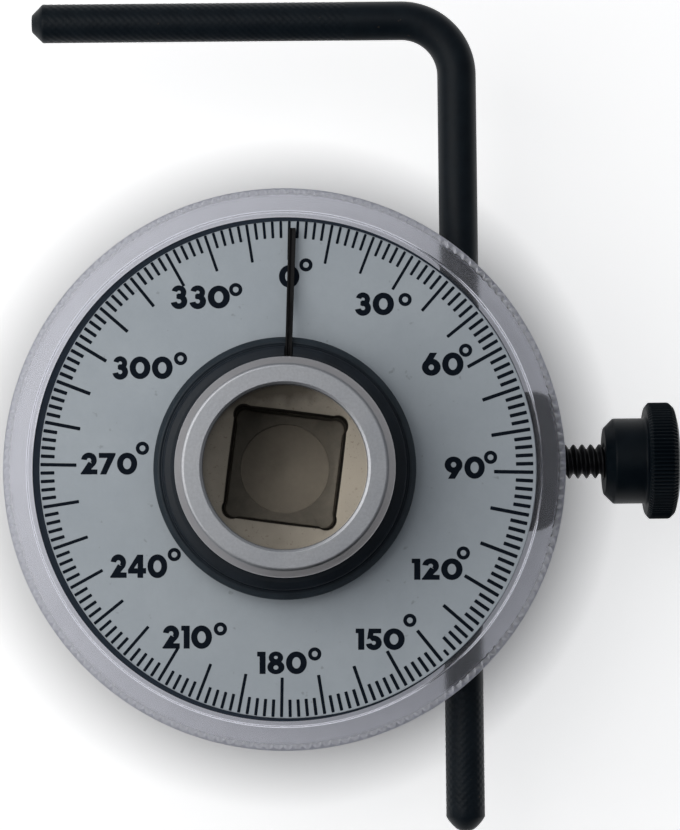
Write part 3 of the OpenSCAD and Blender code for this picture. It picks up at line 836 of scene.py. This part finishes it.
def make_numerals():
    cache = {}
    cu = bpy.data.curves.new("numerals", "CURVE")
    cu.dimensions = "2D"
    cu.fill_mode = "BOTH"
    cu.extrude = 0.015 * MM

    def place(ch, x, y, sx, sy, ang):
        if ch not in cache:
            cache[ch] = glyph_loops(ch)
        c, s = math.cos(ang), math.sin(ang)
        for l in cache[ch]:
            sp = cu.splines.new("POLY")
            sp.use_cyclic_u = True
            sp.points.add(len(l) - 1)
            for p, (gx, gy) in zip(sp.points, l):
                px, py = gx * sx, gy * sy
                p.co = ((x + c * px - s * py) * MM, (y + s * px + c * py) * MM, 0, 1)

    # lower left corner, width and height of the digits, then the centre of the degree ring; mm from the spindle
    # axis, in a frame turned so that the figures stand upright in the rest pose
    roll = math.radians(-0.65)
    for word, x0, y0, w, h, rx, ry in LABELS:
        gap = 0.085
        nat = sum(WIDTH[c] for c in word) + gap * (len(word) - 1)
        sx = w / nat
        cx = x0
        for c in word:
            px = cx * math.cos(roll) - y0 * math.sin(roll)
            py = cx * math.sin(roll) + y0 * math.cos(roll)
            place(c, px, py, sx, h, roll)
            cx += (WIDTH[c] + gap) * sx
        d = 2.62
        px = (rx - 0.29 * d) * math.cos(roll) - (ry - 0.29 * d) * math.sin(roll)
        py = (rx - 0.29 * d) * math.sin(roll) + (ry - 0.29 * d) * math.cos(roll)
        place("o", px, py, d, d, roll)
    tmp = new_object("numerals_curve", cu)
    dg = bpy.context.evaluated_depsgraph_get()
    me = bpy.data.meshes.new_from_object(tmp.evaluated_get(dg))
    bpy.data.objects.remove(tmp)
    bpy.data.curves.remove(cu)
    me.name = "dial_print_numerals"
    me.materials.clear()
    bm = bmesh.new()
    bm.from_mesh(me)
    bmesh.ops.remove_doubles(bm, verts=bm.verts, dist=1e-7)
    for v in bm.verts:
        v.co.z = (Z_PLATE + 0.02) * MM if v.co.z > 0 else (Z_PLATE - 0.01) * MM
    bmesh.ops.recalc_face_normals(bm, faces=bm.faces)
    bm.to_mesh(me)
    bm.free()
    finish_shading(me, 30)
    ob = new_object("dial_print_numerals", me)
    return dress(ob, "ink", "dial")


LABELS = [
    # word, x0, y0, width, height, ring x, ring y
    ("0", -0.7, 21.9, 2.42, 2.62, 2.53, 24.6),
    ("30", 8.42, 18.58, 4.71, 2.62, 14.5, 20.42),
    ("60", 16.5, 11.28, 5.02, 2.7, 21.8, 14.3),
    ("90", 19.28, -1.15, 4.8, 2.6, 24.8, 1.38),
    ("120", 15.3, -13.35, 6.08, 2.5, 21.5, -10.15),
    ("150", 8.55, -21.76, 5.85, 2.5, 15.05, -18.25),
    ("180", -3.3, -24.65, 5.92, 2.62, 3.6, -22.28),
    ("210", -14.68, -21.6, 5.9, 2.7, -7.75, -19.27),
    ("240", -20.97, -13.1, 6.8, 2.74, -13.3, -10.33),
    ("270", -24.55, -0.67, 6.75, 2.55, -17.15, 2.46),
    ("300", -20.8, 10.85, 7.25, 2.62, -12.58, 13.27),
    ("330", -13.8, 19.37, 7.13, 2.66, -5.94, 21.6),
]


# ---------------------------------------------------------------- housing
def make_housing():
    top, bot = ARM_Y + 8.5, ARM_Y - 8.5
    R, c, ex = 19.0, 3.5, 33.6
    f = 1.2   # blend of arm into body
    pts = []

    def blend_centre(side):
        y = (top + f) if side > 0 else (bot - f)
        return math.sqrt((R + f) ** 2 - y * y), y

    cu = blend_centre(1)
    cl = blend_centre(-1)
    a_u = math.atan2(cu[1], cu[0])
    a_l = math.atan2(cl[1], cl[0])
    for k in np.linspace(a_u, a_l + TAU, 220):                       # round body
        pts.append((R * math.cos(k), R * math.sin(k)))
    for k in np.linspace(a_l + math.pi, math.pi / 2, 9)[1:]:         # lower blend
        pts.append((cl[0] + f * math.cos(k), cl[1] + f * math.sin(k)))
    for k in np.linspace(-math.pi / 2, 0, 13):                       # arm end
        pts.append((ex - c + c * math.cos(k), bot + c + c * math.sin(k)))
    for k in np.linspace(0, math.pi / 2, 13):
        pts.append((ex - c + c * math.cos(k), top - c + c * math.sin(k)))
    for k in np.linspace(-math.pi / 2, a_u - math.pi, 9)[:-1]:       # upper blend
        pts.append((cu[0] + f * math.cos(k), cu[1] + f * math.sin(k)))
    p = np.array(pts)
    keep = np.hypot(*(p - np.roll(p, 1, axis=0)).T) > 1e-4
    p = p[keep]
    t = np.roll(p, -1, axis=0) - np.roll(p, 1, axis=0)
    t /= np.hypot(*t.T)[:, None]
    nrm = np.stack([t[:, 1], -t[:, 0]], -1)
    b = 0.7
    loops = [np.c_[p - nrm * (b + 0.06), np.full(len(p), Z_REAR)]]
    for k in range(7):
        q = math.pi / 2 * k / 6
        loops.append(np.c_[p - nrm * b * (1 - math.sin(q)), np.full(len(p), Z_REAR + b * (1 - math.cos(q)))])
    for k in range(7):
        q = math.pi / 2 * k / 6
        loops.append(np.c_[p - nrm * b * (1 - math.cos(q)), np.full(len(p), Z_FRONT - b * (1 - math.sin(q)))])
    loops.append(np.c_[p - nrm * (b + 0.06), np.full(len(p), Z_FRONT)])
    v, fc = skin(loops, cap0="ngon", cap1="ngon")
    ob = mesh_object("housing_casting", v, fc)
    hub = round_path([(0, 26.0), (14.0, 26.0), (14.0, 30.2, 0.03), (13.45, 30.2, 0.05), (13.45, 31.3, 0.05), (14.0, 31.3, 0.03), (14.0, 32.0, 0.25), (0, 32.0)], 4)
    cut(ob, [tool(hub, np.eye(4), 192)], "UNION")
    holes = [
        tool([(0, 17.0), (13.2, 17.0), (12.6, 18.35), (12.6, 19.6), (12.3, 19.6), (12.3, 33.0), (0, 33.0)], np.eye(4), 192),
        tool([(0, -20.0), (3.5, -20.0), (3.5, -8.35), (2.95, -8.35), (2.43, -7.75), (2.43, 7.75), (2.95, 8.35), (3.5, 8.35), (3.5, 20.0), (0, 20.0)],
             along_y(ROD_X, ARM_Y, Z_MID), 64),
        tool([(0, 21.7), (2.2, 21.7), (2.2, 32.9), (2.85, 33.45), (2.85, 36.0), (0, 36.0)], along_x(0, ARM_Y, Z_MID), 64),
    ]
    cut(ob, holes, sharp=32)
    return dress(ob, "housing_black", "housing", "housing")


# ---------------------------------------------------------------- rod
def make_rod():
    leg1 = ROD_BOT + ROD_TOP - BEND          # straight long leg
    bend = BEND * math.pi / 2
    leg2 = (ROD_X - BEND) + ROD_LEFT         # straight short leg
    total = leg1 + bend + leg2

    def frame_at(s):
        if s < leg1:
            return (ROD_X, -ROD_BOT + s), (1.0, 0.0)
        if s < leg1 + bend:
            a = (s - leg1) / BEND
            return (ROD_X - BEND + BEND * math.cos(a), ROD_TOP - BEND + BEND * math.sin(a)), (math.cos(a), math.sin(a))
        return (ROD_X - BEND - (s - leg1 - bend), ROD_TOP), (0.0, 1.0)

    def radius(s):
        if s < 1.75:
            return float(np.interp(s, [0, 0.10, 0.30, 0.7, 1.2, 1.6, 1.75], [0.72, 0.98, 1.25, 1.66, 2.08, 2.32, 2.38]))
        e = total - s
        if e < 1.4:
            return float(np.interp(e, [0, 0.08, 1.28, 1.4], [1.02, 1.13, 2.33, 2.38]))
        return ROD_R

    def knurled(s):
        """1 inside a knurled stretch, fading at its ends."""
        def band(a, b, soft=0.5):
            return max(0.0, min(1.0, (s - a) / soft, (b - s) / soft))
        short0 = leg1 + bend + (ROD_X - BEND) - 8.6
        return max(band(1.9, 17.6), band(short0, total - 1.5))

    ss = [0, 0.05, 0.10, 0.3, 0.7, 1.2, 1.6, 1.75]
    s = 1.75
    while s < total - 1.4:
        k = knurled(s + 0.1)
        s += 0.11 if k > 0 else (0.35 if leg1 - 1 < s < leg1 + bend + 1 else 0.8)
        if s < total - 1.42:
            ss.append(s)
    ss += [total - 1.4, total - 1.28, total - 0.9, total - 0.5, total - 0.08, total]
    n = 112
    th = np.arange(n) * TAU / n
    starts = 16
    pitch = 0.93
    loops = []
    for s in ss:
        (x, y), (nx, ny) = frame_at(s)
        r = np.full(n, radius(s))
        k = knurled(s)
        if k:
            def groove(sign):
                ph = (starts * th / TAU + sign * s / pitch) % 1.0
                return (0.5 - 0.5 * np.cos(TAU * ph)) ** 2.2      # 1 in the groove
            a, b = groove(1), (0.9 if s < leg1 else 0.45) * groove(-1)
            r = r - 0.036 * k * (a + b - a * b)
        loops.append(np.stack([x + nx * r * np.cos(th), y + ny * r * np.cos(th), Z_MID + r * np.sin(th)], -1))
    (xa, ya), _ = frame_at(0)
    (xb, yb), _ = frame_at(total)
    v, f = skin(loops, cap0=(xa, ya - 0.0, Z_MID), cap1=(xb, yb, Z_MID))
    ob = mesh_object("reaction_rod_bar", v, f, sharp=50)
    return dress(ob, "rod_black", "rod", "reaction_rod")


# ---------------------------------------------------------------- thumb screw
def make_stud():
    x0, x1, pitch, crest, depth = 25.5, 39.6, 1.06, 2.1, 0.56
    n = 72
    th = np.arange(n) * TAU / n
    loops = []
    for x, r in ((24.8, 0.82), (24.88, 0.93), (25.0, 0.95), (25.5, 0.95), (25.5, 1.40)):
        loops.append(np.stack([np.full(n, x), r * np.cos(th), r * np.sin(th)], -1))
    step = pitch / 18
    m = int((x1 - x0) / step)
    for i in range(1, m + 1):
        x = x0 + i * step
        ph = (x / pitch - th / TAU) % 1.0
        d = np.abs(ph - 0.5) * 2                      # 0 at the crest
        h = np.clip((d - 0.12) / 0.76, 0, 1)
        h = h * h * (3 - 2 * h) * 0.35 + h * 0.65     # slightly rounded flanks
        r = crest - depth * h
        lead = min(1.0, (x - x0) / 1.2)
        r = np.minimum(r, 1.5 + 0.6 * lead)
        if x > x1 - 0.5:
            k = (x - (x1 - 0.5)) / 0.5
            r = r * (1 - k) + 1.9 * k
        loops.append(np.stack([np.full(n, x), r * np.cos(th), r * np.sin(th)], -1))
    for x, r in ((x1 + 0.05, 2.05), (45.5, 2.05), (45.7, 1.9)):
        loops.append(np.stack([np.full(n, x), r * np.cos(th), r * np.sin(th)], -1))
    v, f = skin(loops, cap0=(24.8, 0, 0), cap1=(45.7, 0, 0))
    v = np.array(v) + np.array([0, ARM_Y, Z_MID])
    ob = mesh_object("thumb_screw_thread", v, f, sharp=40)
    return dress(ob, "stud_black", "screw", "thumb_screw_stud")


def make_knob():
    f, e = 5.1, 9.0
    prof = round_path([(2.12, 0.25), (2.4, 0.0, 0.05), (4.1, 0.0, 0.2), (5.25, 1.15, 0.35), (5.25, f, 0.35), (6.6, f, 0.15), (7.15, f + 0.45, 0.2), (7.15, e - 1.05, 0.5), (6.55, e - 0.42, 0.6),
                       (5.2, e - 0.08, 0.8), (4.4, e - 0.05, 0.1), (4.15, e - 0.30, 0.15), (3.4, e - 0.34), (0.6, e - 0.34)], 6)
    out = []
    for a, b in zip(prof, prof[1:] + [None]):
        out.append(a)
        if b and abs(a[0] - 7.15) < 0.03 and abs(b[0] - 7.15) < 0.03 and abs(a[1] - b[1]) > 0.8:
            out += [(7.15, a[1] + (b[1] - a[1]) * k / 3) for k in (1, 2)]
    teeth = 94
    n = teeth * 8

    def shape(r, z, th):
        if r < 6.35 or z < f + 0.1:
            return np.full(len(th), r)
        w = min(1.0, (r - 6.35) / 0.6) * min(1.0, (z - f - 0.1) / 0.35)
        ph = (teeth * th / TAU) % 1.0
        return r - 0.26 * w * (1 - np.abs(np.sin(math.pi * ph)) ** 1.3)

    th = np.arange(n) * TAU / n
    loops = []
    for r, z in out:
        rr = shape(r, z, th)
        loops.append(np.stack([rr * np.cos(th), rr * np.sin(th), np.full(n, z)], -1))
    # blind bore for the stud
    inner = [(2.12, 6.5), (2.0, 6.55)]
    bore = [np.stack([r * np.cos(th), r * np.sin(th), np.full(n, z)], -1) for r, z in inner[::-1]]
    v, fc = skin(bore + loops, cap0=(0, 0, 6.55), cap1=(0, 0, e - 0.34))
    ob = mesh_object("thumb_knob_serrated", moved(v, along_x(39.2, ARM_Y, Z_MID)), fc, sharp=40)
    return dress(ob, "knob_black", "screw", "thumb_knob")


# ---------------------------------------------------------------- small rings at the back
def make_washer():
    prof = round_path([(11.1, 17.45, 0), (14.0, 17.45, 0.12), (14.0, 17.95, 0.08), (11.1, 17.95, 0.08), (11.1, 17.45)], 4)[:-1]
    v, f = spin(prof, 192)
    ob = mesh_object("rear_washer_ring", v, f, sharp=40)
    return dress(ob, "washer_steel", "spindle", "rear_washer")


def make_circlip():
    """Retaining ring with an ear at each end and a plier hole in each ear."""
    a_gap = 0.128
    a = np.linspace(math.pi / 2 + a_gap, math.pi / 2 + TAU - a_gap, 200)
    outer = [(r * math.cos(t), r * math.sin(t)) for r, t in zip(np.full(len(a), 12.5), a)]
    inner = [(10.45 * math.cos(t), 10.45 * math.sin(t)) for t in a]
    # ears
    def ear(sign):
        c = math.pi / 2 + sign * math.radians(14)
        cx, cy = 12.4 * math.cos(c), 12.4 * math.sin(c)
        return cx, cy
    z0, z1, b = 16.35, 17.4, 0.1
    ring = outer + inner[::-1]
    p = np.array(ring)
    loops = []
    for z, q in ((z0, b), (z0 + b, 0), (z1 - b, 0), (z1, b)):
        c = p.copy()
        k = len(outer)
        sc = (12.5 - q) / 12.5
        c[:k] *= sc
        c[k:] *= (10.45 + q) / 10.45
        loops.append(np.c_[c, np.full(len(c), z)])
    v, f = skin(loops, cap0="ngon", cap1="ngon")
    ob = mesh_object("rear_circlip_ring", v, f, sharp=40)
    ears, holes = [], []
    for s in (-1, 1):
        cx, cy = ear(s)
        mt = np.eye(4)
        mt[0, 3], mt[1, 3] = cx, cy
        ears.append(tool(round_path([(0, z0), (1.7, z0, 0.1), (1.7, z1, 0.1), (0, z1)], 3), mt, 48))
        c = math.pi / 2 + s * math.radians(14)
        mt2 = np.eye(4)
        mt2[0, 3], mt2[1, 3] = 12.5 * math.cos(c), 12.5 * math.sin(c)
        holes.append(tool([(0, 16.0), (0.7, 16.0), (0.7, 18.0), (0, 18.0)], mt2, 32))
    cut(ob, ears, "UNION")
    inner_cut = tool([(0, 16.0), (10.45, 16.0), (10.45, 18.0), (0, 18.0)], np.eye(4), 192)
    slot_box = [(x, y, z) for z in (16.0, 18.0) for y in (5.0, 16.0) for x in (-1.4, 1.4)]
    faces = [(0, 1, 3, 2), (4, 6, 7, 5), (0, 4, 5, 1), (2, 3, 7, 6), (0, 2, 6, 4), (1, 5, 7, 3)]
    gap = mesh_object("tool", slot_box, faces)
    cut(ob, [inner_cut, gap] + holes, sharp=40)
    return dress(ob, "clip_black", "spindle", "rear_circlip")


# ---------------------------------------------------------------- carried-over CAD nodes
CARRIED = {"detent_ball": "bearing_steel", "dial_snap_ring": "spring_steel", "wave_washer": "spring_steel",
           "slip_washer": "nylon", "spindle_bush": "bronze", "spindle_seal": "seal_rubber", "front_thrust_washer": "nylon", "clamp_pad": "brass"}


def dress_nodes():
    for node, mat in CARRIED.items():
        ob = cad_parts[node]
        ob.data.materials.clear()
        ob.data.materials.append(MATS[mat].m)


# ---------------------------------------------------------------- stage
def make_stage():
    n = 96
    th = np.arange(n) * TAU / n
    loops = [np.stack([r * np.cos(th), r * np.sin(th), np.zeros(n)], -1) for r in (200.0, 800.0, 4000.0)]
    v, f = skin(loops, cap0=(0, 0, 0))
    ob = mesh_object("stage_floor", v, f)
    m = Mat("stage_floor", Roughness=0.7)
    a = m.noise(30.0, 3, 0.5)
    m.link(m.mix(m.remap(a, 0.3, 0.7, 0, 1), (0.90, 0.90, 0.90), (0.93, 0.93, 0.93)), "Base Color")
    # lit from below like a light table; the glow is turned down under the gauge as a painted shadow
    m.set("Emission Color", (1.0, 1.0, 1.0))
    r = m.radius()
    shadow_under = m.remap(m.xyz()[1], 0.0, 0.034, 0.10, 0.062)
    m.link(m.math("MULTIPLY", m.remap(r, 0.0352, 0.0435, shadow_under, 0.58), m.remap(r, 0.12, 0.40, 1.0, 0.15)), "Emission Strength")
    m.set("Specular IOR Level", 0.1)
    ob.data.materials.append(m.m)

    w = bpy.data.worlds.new("studio")
    bpy.context.scene.world = w
    w.use_nodes = True
    bg = next(x for x in w.node_tree.nodes if x.type == "BACKGROUND")
    bg.inputs[0].default_value = (0.92, 0.95, 1.0, 1.0)
    # a room: bright at the upper left, with one dark upright shape below the dial
    nt = w.node_tree
    way = nt.nodes.new("ShaderNodeTexCoord").outputs["Generated"]

    def toward(direction, a, b, c, d):
        dot = nt.nodes.new("ShaderNodeVectorMath")
        dot.operation = "DOT_PRODUCT"
        nt.links.new(way, dot.inputs[0])
        dot.inputs[1].default_value = Vector(direction).normalized()
        r = nt.nodes.new("ShaderNodeMapRange")
        r.interpolation_type = "SMOOTHSTEP"
        nt.links.new(dot.outputs["Value"], r.inputs[0])
        for k, v in enumerate((a, b, c, d)):
            r.inputs[k + 1].default_value = v
        return r.outputs[0]

    def math_node(op, a, b):
        x = nt.nodes.new("ShaderNodeMath")
        x.operation = op
        for k, v in enumerate((a, b)):
            if isinstance(v, float):
                x.inputs[k].default_value = v
            else:
                nt.links.new(v, x.inputs[k])
        return x.outputs[0]

    dark = math_node("MULTIPLY", toward((1, 0, 0), -0.28, -0.10, 0.0, 1.0), toward((-1, 0, 0), -0.54, -0.36, 0.0, 1.0))
    dark = math_node("MULTIPLY", dark, toward((0, -1, 0), 0.08, 0.30, 0.0, 0.93))
    side = toward((-0.75, 0.20, 0.62), -0.60, 0.80, 0.19, 0.36)
    side = math_node("MULTIPLY", side, toward((0.45, -0.75, 0.05), 0.45, 0.95, 1.0, 0.12))
    nt.links.new(math_node("MULTIPLY", side, math_node("SUBTRACT", 1.0, dark)), bg.inputs[1])

    def area(name, pos, target, size, power, color):
        li = bpy.data.lights.new(name, "AREA")
        li.shape = "DISK"
        li.size = size
        li.energy = power
        li.color = color
        o = bpy.data.objects.new(name, li)
        bpy.context.scene.collection.objects.link(o)
        o.location = pos
        d = Vector(target) - Vector(pos)
        o.rotation_euler = d.to_track_quat("-Z", "Y").to_euler()
        return o

    area("key", (-0.1475, 0.034, 0.235), (0.0, 0.0, 0.03), 0.25, 0.248, (1.0, 0.985, 0.96))
    area("top", (-0.20, 0.30, 1.1), (0, 0, 0.03), 0.6, 0.8, (1.0, 1.0, 1.0))

    cam = bpy.data.cameras.new("camera")
    co = bpy.data.objects.new("camera", cam)
    bpy.context.scene.collection.objects.link(co)
    C = Vector((-0.79, -6.285, 450.5)) * MM
    T = Vector((6.717, 6.404, 30.5)) * MM
    roll = math.radians(0.657)
    fwd = (T - C).normalized()
    right = fwd.cross(Vector((math.sin(roll), math.cos(roll), 0))).normalized()
    up = right.cross(fwd)
    rot = Matrix((right, up, -fwd)).transposed()
    co.matrix_world = Matrix.Translation(C) @ rot.to_4x4()
    cam.sensor_fit = "AUTO"
    cam.sensor_width = 36.0
    cam.lens = 3485.5 * 36.0 / 830.0
    cam.clip_start = 0.01
    cam.clip_end = 20.0
    bpy.context.scene.camera = co
    bpy.context.scene.view_settings.view_transform = "Standard"


make_spindle()
make_spring()
make_collar()
make_needle()
make_dish()
make_backing()
make_plate()
make_ticks()
make_numerals()
make_housing()
make_rod()
make_stud()
make_knob()
make_washer()
make_circlip()
dress_nodes()
make_stage()
